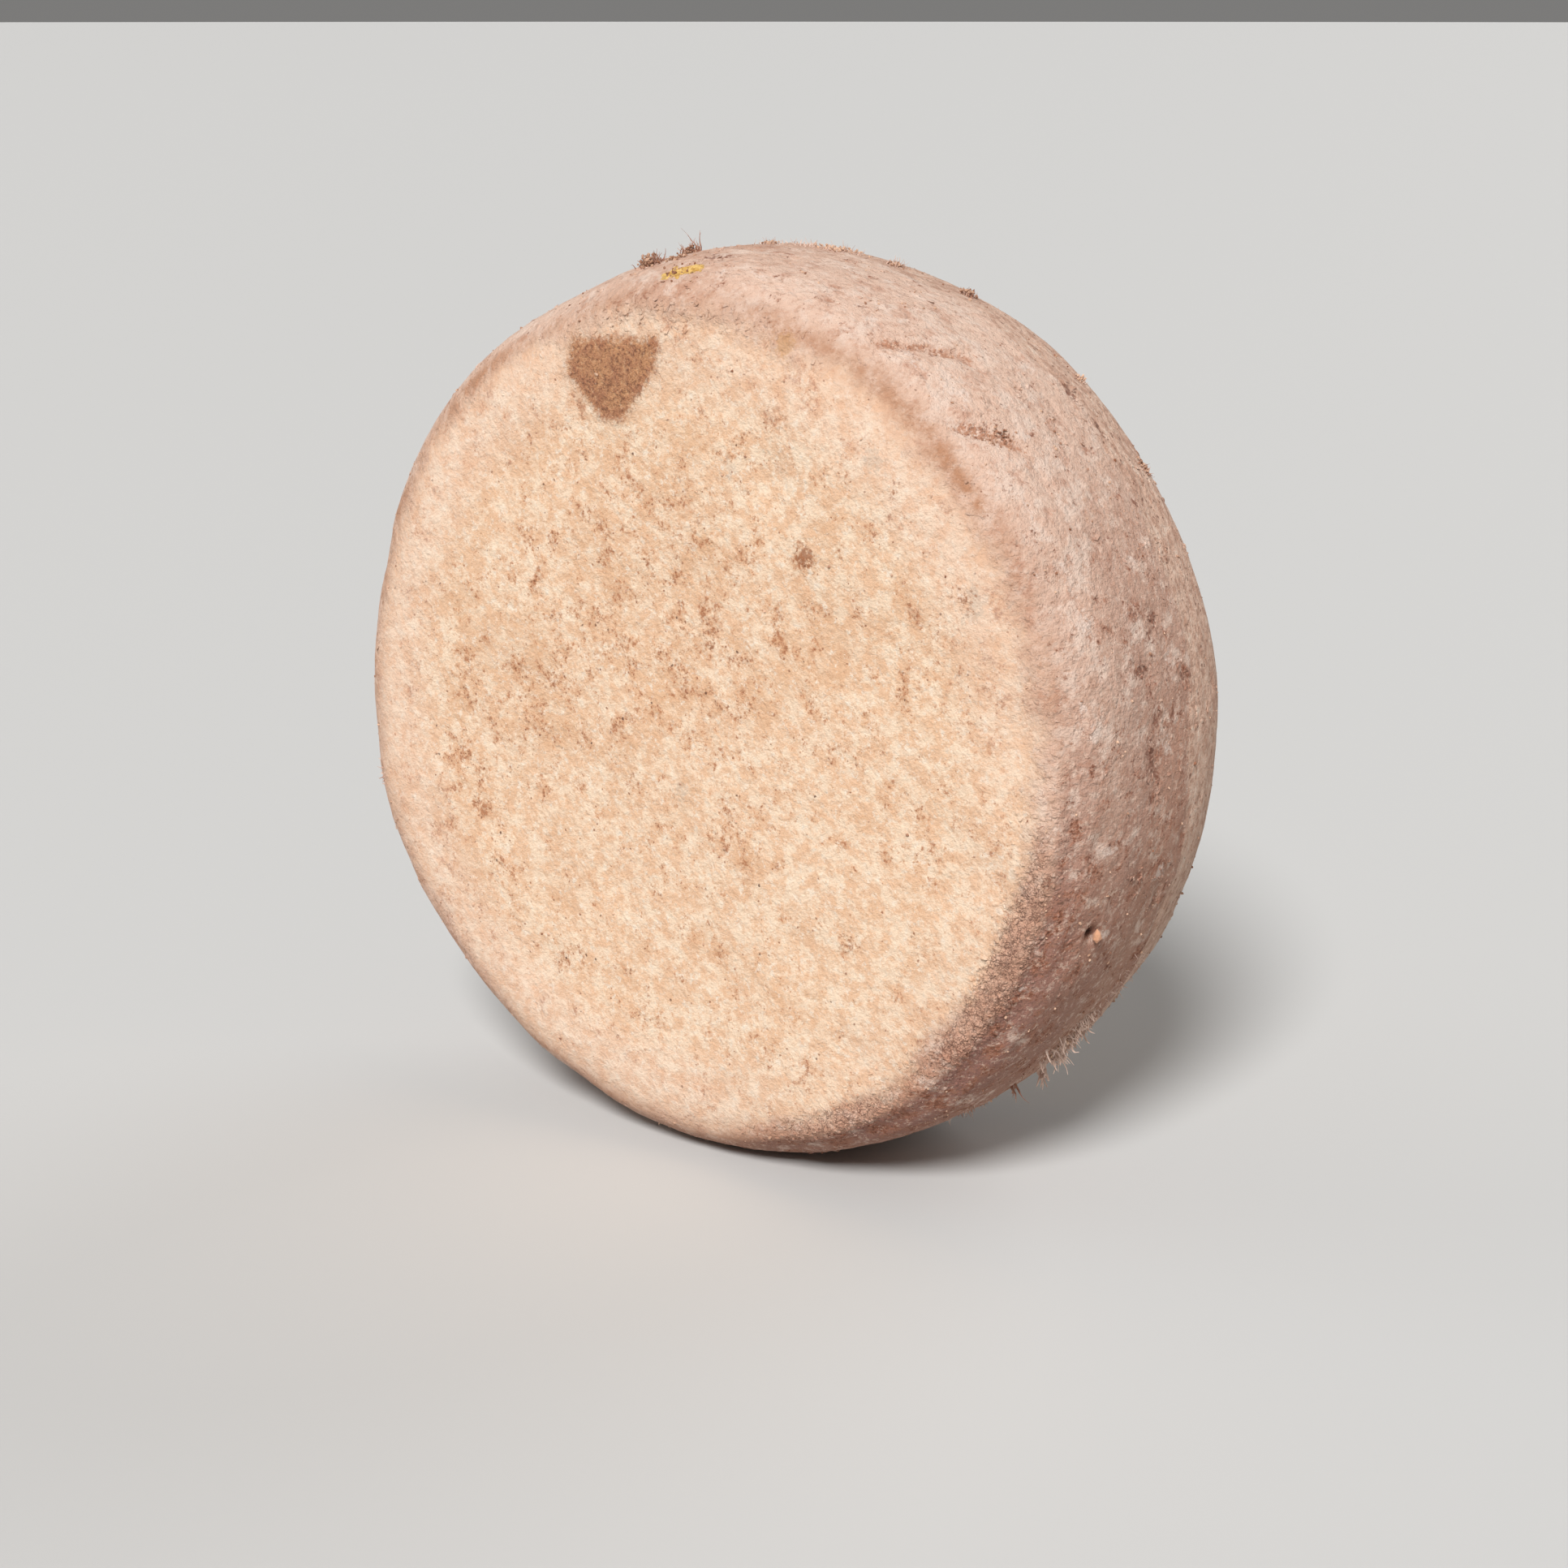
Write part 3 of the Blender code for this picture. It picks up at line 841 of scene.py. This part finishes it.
def corners_and_faces(shape):
    """The points and the triangles of a small closed shape. The shape itself is freed."""
    bmesh.ops.triangulate(shape, faces=shape.faces)
    bmesh.ops.recalc_face_normals(shape, faces=shape.faces)
    shape.verts.index_update()
    corners = np.array([v.co[:] for v in shape.verts])
    faces = np.array([[v.index for v in f.verts] for f in shape.faces])
    shape.free()
    return corners, faces


def spike(sides, joints=0, tip=0.0):
    """A closed spike, one across at its foot and one long, with joints along it at which it can bend."""
    shape = bmesh.new()
    bmesh.ops.create_cone(shape, cap_ends=True, segments=sides, radius1=0.5, radius2=tip, depth=1.0)
    bmesh.ops.translate(shape, verts=shape.verts, vec=(0.0, 0.0, 0.5))
    for i in range(joints):
        level = (0.0, 0.0, (i + 1) / (joints + 1))
        whole = shape.verts[:] + shape.edges[:] + shape.faces[:]
        bmesh.ops.bisect_plane(shape, geom=whole, plane_co=level, plane_no=(0.0, 0.0, 1.0))
    return corners_and_faces(shape)


def rind_arrays():
    """The rind's points and normals, and the corners of its faces."""
    mesh = rind.data
    points = np.empty(len(mesh.vertices) * 3)
    normals = np.empty(len(mesh.vertices) * 3)
    corners = np.empty(len(mesh.loops), dtype=np.int32)
    mesh.vertices.foreach_get("co", points)
    mesh.vertices.foreach_get("normal", normals)
    mesh.loops.foreach_get("vertex_index", corners)
    return points.reshape(-1, 3), normals.reshape(-1, 3), corners.reshape(-1, 4)


def rind_share(name):
    values = np.empty(len(rind.data.vertices), dtype=np.float32)
    rind.data.attributes[name].data.foreach_get("value", values)
    return values


def unit(vectors):
    return vectors / np.linalg.norm(vectors, axis=1)[:, None]


def scattered(count, liking, draw):
    """Random places on the rind, more of them where the liking is higher, each with the rind's normal."""
    a, b, c, d = (rind_points[rind_quads[:, i]] for i in range(4))
    weight = np.linalg.norm(np.cross(c - a, d - b), axis=1) * liking[rind_quads].mean(axis=1)
    pick = draw.choice(len(rind_quads), count, p=weight / weight.sum())
    u, v = draw.random((2, count, 1))
    shares = ((1 - u) * (1 - v), u * (1 - v), u * v, (1 - u) * v)
    places = sum(share * rind_points[rind_quads[pick, i]] for i, share in enumerate(shares))
    out = sum(share * rind_normals[rind_quads[pick, i]] for i, share in enumerate(shares))
    return places, unit(out)


def turned(ways, widths, depths, lengths, draw):
    """Three axes for each copy, with its size in them: the third lies along its way, the others at random."""
    sideways = unit(np.cross(ways, draw.normal(size=ways.shape)))
    crosswise = np.cross(ways, sideways)
    sized = (sideways * widths[:, None], crosswise * depths[:, None], ways * lengths[:, None])
    return np.stack(sized, axis=1)


def joined_copies(name, shape, places, axes, tones, bends=None, kinks=None):
    """One mesh of many copies of a small closed shape, each with its own tone for its colour."""
    corners, faces = shape
    spots = places[:, None, :] + np.einsum("ki,cij->ckj", corners, axes)
    if bends is not None:
        along = corners[:, 2]
        spots += bends[:, None, :] * (along ** 2)[None, :, None]
        spots += kinks[:, None, :] * np.sin(along * 2 * math.pi)[None, :, None]
    firsts = np.arange(len(places)) * len(corners)
    triangles = (faces[None] + firsts[:, None, None]).reshape(-1, 3)
    mesh = bpy.data.meshes.new(name)
    mesh.from_pydata(spots.reshape(-1, 3).tolist(), [], triangles.tolist())
    give_share(mesh, "tone", np.repeat(tones, len(corners)))
    return in_scene(name, mesh)


def two_tone(name, pale, dark, spacing=0.0012, fresh=None):
    """Dry matter whose colour goes from pale to dark with its tone. A tone of 2 has the fresh colour."""
    paint = Paint(name, roughness=0.95, sheen=0.15)
    cloud = paint.swing(paint.noise(spacing, 3.0, 0.6), 0.9)
    colour = paint.coats(pale, (dark, paint.plus(paint.share("tone"), cloud), 0.0, 1.0))
    if fresh:
        colour = paint.coats(colour, (fresh, paint.share("tone"), 1.4, 1.8))
    return paint.finish(colour, paint.times(paint.noise(0.0006, 2.0, 0.6), 0.0002))


def mould_fuzz():
    draw = np.random.default_rng(FUZZ_SEED)
    patchy = np.clip(0.6 + 0.9 * slow_noise(rind_points, 0.012), 0.15, 1.5)
    liking = (FUZZ_ON_FACE + (1 - FUZZ_ON_FACE) * rind_share("rim")) * patchy * clear_of_table
    places, out = scattered(FUZZ_COUNT, liking, draw)
    lengths = draw.uniform(*FUZZ_LENGTHS, FUZZ_COUNT)
    long_ones = draw.random(FUZZ_COUNT) < FUZZ_LONG_SHARE
    lengths[long_ones] = draw.uniform(FUZZ_LENGTHS[1], FUZZ_LONGEST, long_ones.sum())
    ways = unit(out + draw.normal(scale=FUZZ_LEAN, size=out.shape))
    ways = unit(ways + np.maximum(FUZZ_LOWEST - (ways * out).sum(axis=1), 0.0)[:, None] * out)
    widths = draw.uniform(*FUZZ_WIDTHS, FUZZ_COUNT) * 2
    axes = turned(ways, widths, widths, lengths + FUZZ_ROOT, draw)
    tones = np.clip(0.7 * draw.beta(1.2, 3.5, FUZZ_COUNT) + 0.4 * rind_tone(places), 0.0, 1.0)
    return joined_copies("fuzz", spike(3), places - out * FUZZ_ROOT, axes, tones)


def rind_tone(places):
    """0 on the side of the rim towards the shown face, and 1 on the other, where the rind is darker."""
    return smooth_step(places[:, 1], -0.01, 0.02)


rind_points, rind_normals, rind_quads = rind_arrays()
clear_of_table = smooth_step(rind_points[:, 2], *CLEAR_OF_TABLE)
fuzz = mould_fuzz()
fuzz.data.materials.append(two_tone("dry_mould", PALE_FUZZ, BROWN_FUZZ))
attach(fuzz, "root")

# The tufts: clumps of longer threads and strips, torn up by the brush, that stand on top of the rim or hang
# from it low down. Each thread is a bent spike with its root in the rind.
# Each row, with lengths in millimetres: angle, distance from the mid-plane, spread of the roots, threads,
# length, width, hang (0 to 1), tone
TUFTS = (
    (100.4, -27.2, 1.3, 40, 2.6, 0.28, 0.0, 0.75),
    (99.2, -26.2, 1.2, 34, 3.2, 0.25, 0.0, 0.7),
    (97.9, -14.5, 1.2, 40, 2.6, 0.26, 0.0, 0.7),
    (97.2, -12.5, 0.6, 14, 5, 0.24, 0.0, 0.6),
    (92.6, 6.4, 1.8, 30, 1.6, 0.18, 0.0, 0.35),
    (88.4, 10.8, 3.4, 80, 1.4, 0.18, 0.0, 0.1),
    (83.9, 14.2, 2.6, 60, 1.8, 0.2, 0.0, 0.3),
    (77.7, 20.6, 1.4, 34, 1.7, 0.22, 0.0, 0.4),
    (67.8, 24.8, 1.4, 40, 1.7, 0.24, 0.0, 0.55),
    (49.5, 28.2, 0.9, 24, 1.5, 0.22, 0.0, 0.05),
    (36.2, 30.2, 2, 26, 1.2, 0.24, 0.2, 0.6),
    (-40.0, 0.5, 3.6, 170, 3, 0.48, 0.7, 0.0),
    (-41.5, 1, 1.2, 24, 5.6, 0.66, 0.9, 0.0),
    (-39.6, -0.5, 0.6, 10, 4.6, 0.56, 0.8, 0.08),
    (-37.8, 1.5, 0.6, 10, 3.6, 0.5, 0.8, 0.08),
    (-36.5, 2, 3.4, 90, 2, 0.4, 0.6, 0.05),
    (-46.1, 3.7, 0.4, 7, 7.6, 0.85, 1.0, 0.35),
    (-47.9, -6.3, 0.4, 7, 4.4, 0.6, 1.0, 0.6),
    (-50.3, -20.5, 1, 12, 2.4, 0.24, 1.0, 0.45),
    (-56.0, -6, 4, 26, 1.8, 0.22, 1.0, 0.4),
    (-31.0, 12, 6, 50, 1.6, 0.22, 0.6, 0.15),
    (-165.1, -40, 1.8, 24, 1.2, 0.22, 0.3, 0.4),
    (121.0, 18, 3, 40, 2.2, 0.24, 0.0, 0.5),
    (158.0, 6, 3.4, 50, 2, 0.24, 0.2, 0.3),
    (-152.0, 12, 3.6, 60, 3.6, 0.28, 0.9, 0.3),
)
TUFT_SEED = 57
TUFT_ROOT = 0.0004
TUFT_JOINTS = 5
TUFT_LEAN, TUFT_BEND, TUFT_KINK = 0.34, 0.3, 0.07     # shares of a thread's length
TUFT_TIP = 0.1             # how wide a thread ends, as a share of its foot
PALE_TUFT = (250, 220, 202)
BROWN_TUFT = (166, 104, 76)


def on_the_rind(guesses):
    """The place on the rind nearest to each guess from the wheel's centre, and the rind's normal there."""
    found = [rind_tree.find_nearest(Vector(guess)) for guess in (guesses + (0.0, 0.0, AXIS_HEIGHT)).tolist()]
    return np.array([place[:] for place, *_ in found]), np.array([out[:] for _, out, *_ in found])


def rind_around(angle, along, spread, count, draw):
    """Places on the rind scattered round one place of the rim, each with the rind's normal there."""
    return on_the_rind(on_the_rim(angle, along) + draw.normal(scale=spread, size=(count, 3)))


def mould_tufts():
    draw = np.random.default_rng(TUFT_SEED)
    places, axes, bends, kinks, tones = [], [], [], [], []
    for angle, along, spread, count, length, width, hang, tone in TUFTS:
        roots, out = rind_around(angle, along * MM, spread * MM, count, draw)
        droop = out * (1 - 0.5 * hang) + np.array((0.0, 0.0, -1.0)) * hang
        ways = unit(droop + draw.normal(scale=TUFT_LEAN, size=out.shape))
        lengths = length * MM * draw.uniform(0.3, 1.0, count) + TUFT_ROOT
        widths = width * MM * draw.uniform(0.6, 1.3, count) * 2
        places.append(roots - ways * TUFT_ROOT)
        axes.append(turned(ways, widths, widths * draw.uniform(0.35, 1.0, count), lengths, draw))
        bends.append(draw.normal(scale=TUFT_BEND, size=out.shape) * lengths[:, None])
        kinks.append(draw.normal(scale=TUFT_KINK, size=out.shape) * lengths[:, None])
        tones.append(np.clip(tone + draw.normal(scale=0.15, size=count), 0.0, 1.0))
    joined = [np.concatenate(parts) for parts in (places, axes, tones, bends, kinks)]
    return joined_copies("tufts", spike(4, TUFT_JOINTS, TUFT_TIP), *joined)


rind_tree = BVHTree.FromPolygons(rind_points.tolist(), rind_quads.tolist())
tufts = mould_tufts()
tufts.data.materials.append(two_tone("torn_mould", PALE_TUFT, BROWN_TUFT, 0.002))
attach(tufts, "root")

# The crumbs: grains of dry rind and curd, brushed loose and stuck again. They lie in heaps round the tufts,
# and singly in the cracks and rubbed streaks of the rim. Each is a lump with twenty faces, no two alike.
CRUMB_COUNT = 1800
CRUMB_SEED = 73
CRUMB_SIZES = (0.00014, 0.0005)    # half widths
CRUMB_SHAPES = (0.55, 1.25)        # how far a crumb's own axes differ
CRUMB_SUNK = 0.35
CRUMB_LEAN = 0.8
# Each heap, with lengths in millimetres: angle, distance from the mid-plane, spread, height, crumbs, half
# width of a crumb, tone
CRUMB_HEAPS = (
    (100.2, -27, 1.2, 2.6, 110, 0.5, 0.65),
    (98.0, -15, 1.1, 1.6, 70, 0.45, 0.7),
    (96.6, -25, 1.4, 0.6, 30, 0.5, 0.6),
    (93.0, -34, 2.2, 0.3, 30, 0.38, 0.75),
    (44.3, -25.8, 1.2, 0.3, 16, 0.4, 0.85),
    (92.6, 6.4, 1.4, 0.6, 30, 0.4, 0.35),
    (84.6, 14.2, 2.6, 0.9, 80, 0.42, 0.3),
    (77.7, 20.6, 1.3, 0.8, 40, 0.42, 0.4),
    (67.8, 24.8, 1.1, 1.5, 60, 0.48, 0.55),
    (49.5, 28.2, 0.8, 1.1, 34, 0.4, 0.05),
    (36.2, 30.2, 1.4, 0.6, 30, 0.4, 0.55),
    (45.0, -29, 1.6, 0.3, 20, 0.4, 0.6),
    (-40.0, 0.5, 3, 1, 70, 0.45, 0.1),
    (158.0, 6, 2, 0.8, 40, 0.45, 0.5),
)
# The one fresh crumb: its place beside the deep pit, and its half sizes
PIT_CRUMB_OFF = (0.0006, 0.0009, -0.0005)
PIT_CRUMB_SIZE = (0.0013, 0.0019, 0.0018)
PALE_CRUMB = (244, 204, 174)
BROWN_CRUMB = (150, 98, 72)
FRESH_CRUMB = (240, 178, 140)


def lump():
    """A rough closed lump about one across, with its corners pushed in and out."""
    shape = bmesh.new()
    bmesh.ops.create_icosphere(shape, subdivisions=1, radius=1.0)
    for i, corner in enumerate(shape.verts):
        corner.co *= 1.0 + 0.22 * math.sin(2.4 * i + 0.7)
    return corners_and_faces(shape)


def loose_crumbs():
    draw = np.random.default_rng(CRUMB_SEED)
    patchy = np.clip(slow_noise(rind_points, 0.009) * 2.4 - 0.25, 0.0, 1.5)
    liking = 0.03 + 0.45 * rind_share("rim") * patchy
    liking = (liking + 0.6 * rind_share("crumbly") + 0.8 * rind_share("hollow")) * clear_of_table
    loose, loose_out = scattered(CRUMB_COUNT, liking, draw)
    small, large = CRUMB_SIZES
    loose_sizes = small + (large - small) * draw.random(CRUMB_COUNT) ** 3
    places, out, sizes = [loose], [loose_out], [loose_sizes]
    tones = [np.clip(draw.beta(1.6, 2.2, CRUMB_COUNT) + 0.2 * rind_tone(loose), 0.0, 1.0)]
    for angle, along, spread, height, count, size, tone in CRUMB_HEAPS:
        feet, foot_out = rind_around(angle, along * MM, spread * MM, count, draw)
        places.append(feet + foot_out * (height * MM * draw.random(count) ** 1.5)[:, None])
        out.append(foot_out)
        sizes.append(size * MM * draw.uniform(0.5, 1.2, count))
        tones.append(np.clip(tone + draw.normal(scale=0.15, size=count), 0.0, 1.0))
    places, out, sizes, tones = (np.concatenate(parts) for parts in (places, out, sizes, tones))
    places = places + out * (sizes * (1 - CRUMB_SUNK) * 0.5)[:, None]
    widths, depths, lengths = sizes * draw.uniform(*CRUMB_SHAPES, (3, len(sizes)))
    axes = turned(unit(out + draw.normal(scale=CRUMB_LEAN, size=out.shape)), widths, depths, lengths, draw)
    pit_crumb = np.array(CRUMB_PIT) + PIT_CRUMB_OFF + (0.0, 0.0, AXIS_HEIGHT)
    places = np.concatenate((places, pit_crumb[None]))
    axes = np.concatenate((axes, np.diag(PIT_CRUMB_SIZE)[None]))
    return joined_copies("crumbs", lump(), places, axes, np.append(tones, 2.0))


crumbs = loose_crumbs()
crumbs.data.materials.append(two_tone("dry_crumb", PALE_CRUMB, BROWN_CRUMB, 0.0015, FRESH_CRUMB))
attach(crumbs, "root")

# The crust: scales of skin, one to three millimetres across, where a shoulder has dried out and breaks up.
# They lie nearly flat, thickest on the crumbly stretches and here and there on the rim. Each is a thin lump
# of the rind's own stuff, so it has the rind's material and takes its zones from the place where it lies.
CRUST_COUNT = 4600
CRUST_SEED = 87
CRUST_HALF_WIDTHS = (0.0004, 0.0015)
CRUST_HALF_DEPTHS = (0.00012, 0.00036)
CRUST_TILT = 0.22


def crust_scales():
    draw = np.random.default_rng(CRUST_SEED)
    patchy = np.clip(slow_noise(rind_points, 0.011, (0.0, 0.0, 2.9)) * 2.4 - 0.5, 0.0, 1.5)
    liking = 0.08 * rind_share("rim") * patchy + 2.4 * rind_share("crumbly") ** 1.3 + 0.3 * rind_share("dark")
    places, out = scattered(CRUST_COUNT, liking * clear_of_table, draw)
    small, large = CRUST_HALF_WIDTHS
    widths, lengths = small + (large - small) * draw.random((2, CRUST_COUNT)) ** 1.8
    ways = unit(out + draw.normal(scale=CRUST_TILT, size=out.shape))
    axes = turned(ways, widths, lengths, draw.uniform(*CRUST_HALF_DEPTHS, CRUST_COUNT), draw)
    shape = lump()
    scales = joined_copies("crust", shape, places, axes, np.zeros(CRUST_COUNT))
    nearest = KDTree(len(rind_points))
    for i, point in enumerate(rind_points.tolist()):
        nearest.insert(point, i)
    nearest.balance()
    below = np.repeat([nearest.find(place)[1] for place in places.tolist()], len(shape[0]))
    for zone in rind.data.attributes:
        if zone.domain == "POINT" and zone.data_type == "FLOAT":
            give_share(scales.data, zone.name, rind_share(zone.name)[below])
    return scales


crust = crust_scales()
crust.data.materials.append(rind.data.materials[0])
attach(crust, "root")

# The scrape: a nick near the top of the rim, where the skin is off and the waxy yellow paste below shows.
# Its flakes are thin lumps that lie flat and overlap.
FLAKE_COUNT = 80
FLAKE_SEED = 91
FLAKE_HALF_WIDTHS = (0.0005, 0.0013)
FLAKE_HALF_DEPTHS = (0.00012, 0.0003)
FLAKE_SPREAD = 0.0011
FLAKE_TILT, FLAKE_SLIMNESS = 0.16, 0.7
PALE_FLAKE = (240, 200, 124)
DARK_FLAKE = (206, 158, 80)


def waxy_flakes():
    draw = np.random.default_rng(FLAKE_SEED)
    share = draw.random((FLAKE_COUNT, 1))
    start = on_the_rim(*SCRAPE_FROM)
    run = on_the_rim(*SCRAPE_TO) - start
    places, out = on_the_rind(start + share * run + draw.normal(scale=FLAKE_SPREAD, size=(FLAKE_COUNT, 3)))
    widths, lengths = draw.uniform(*FLAKE_HALF_WIDTHS, (2, FLAKE_COUNT))
    ways = unit(out + draw.normal(scale=FLAKE_TILT, size=out.shape))
    axes = turned(ways, widths, lengths * FLAKE_SLIMNESS, draw.uniform(*FLAKE_HALF_DEPTHS, FLAKE_COUNT), draw)
    return joined_copies("scrape_flakes", lump(), places, axes, draw.random(FLAKE_COUNT))


flakes = waxy_flakes()
flakes.data.materials.append(two_tone("bared_paste", PALE_FLAKE, DARK_FLAKE, 0.002))
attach(flakes, "root")

# The studio: a plain pale floor, one soft lamp high and a little to the left of the camera, and weaker ones
# that open up the shadows. The camera stands where the photograph's did, 0.8 m from the wheel and above it.
FLOOR_RADIUS = 60.0
FLOOR_COLOUR = (0.52, 0.515, 0.505, 1.0)
# Each lamp: name, the way to it, how wide it looks from the wheel in degrees, strength
LAMPS = (
    ("key_lamp", (0.27, -0.69, 0.67), 17.0, 4.2),
    ("side_lamp", (-0.85, -0.35, 0.4), 40.0, 0.35),
    ("back_lamp", (0.15, 0.85, 0.5), 40.0, 0.9),
)
SKY_COLOUR, SKY_STRENGTH = (1.0, 0.985, 0.96, 1.0), 0.2
CAMERA_AT = (3.5648 * RADIUS, -4.936 * RADIUS, 2.5059 * RADIUS - FOOT_PRESS)
CAMERA_AZIMUTH = 35.643
CAMERA_DOWN = 15.56
PHOTO_PIXELS = 1932
FOCAL_PIXELS = 3444.0
SENSOR_WIDTH = 36.0


def studio_floor():
    disc = bmesh.new()
    bmesh.ops.create_circle(disc, cap_ends=True, segments=96, radius=FLOOR_RADIUS)
    mesh = bpy.data.meshes.new("studio_floor")
    disc.to_mesh(mesh)
    disc.free()
    material = bpy.data.materials.new("studio_floor")
    material.use_nodes = True
    surface = material.node_tree.nodes["Principled BSDF"]
    surface.inputs["Base Color"].default_value = FLOOR_COLOUR
    surface.inputs["Roughness"].default_value = 0.8
    mesh.materials.append(material)
    floor = in_scene("studio_floor", mesh)


def soft_lamp(name, way, spread, strength):
    """A large far lamp that shines from a given way."""
    light = bpy.data.lights.new(name, "SUN")
    light.angle = math.radians(spread)
    light.energy = strength
    in_scene(name, light).rotation_euler = Vector(way).to_track_quat("Z", "Y").to_euler()


def open_sky():
    world = bpy.data.worlds.new("studio")
    world.use_nodes = True
    sky = world.node_tree.nodes["Background"]
    sky.inputs["Color"].default_value = SKY_COLOUR
    sky.inputs["Strength"].default_value = SKY_STRENGTH
    bpy.context.scene.world = world


def photo_camera():
    lens = bpy.data.cameras.new("camera")
    lens.sensor_width = SENSOR_WIDTH
    lens.lens = FOCAL_PIXELS * SENSOR_WIDTH / PHOTO_PIXELS
    camera = in_scene("camera", lens)
    camera.location = CAMERA_AT
    camera.rotation_euler = (math.radians(90 - CAMERA_DOWN), 0.0, math.radians(CAMERA_AZIMUTH))
    bpy.context.scene.camera = camera


studio_floor()
for lamp in LAMPS:
    soft_lamp(*lamp)
open_sky()
photo_camera()
bpy.context.scene.view_settings.view_transform = "Standard"
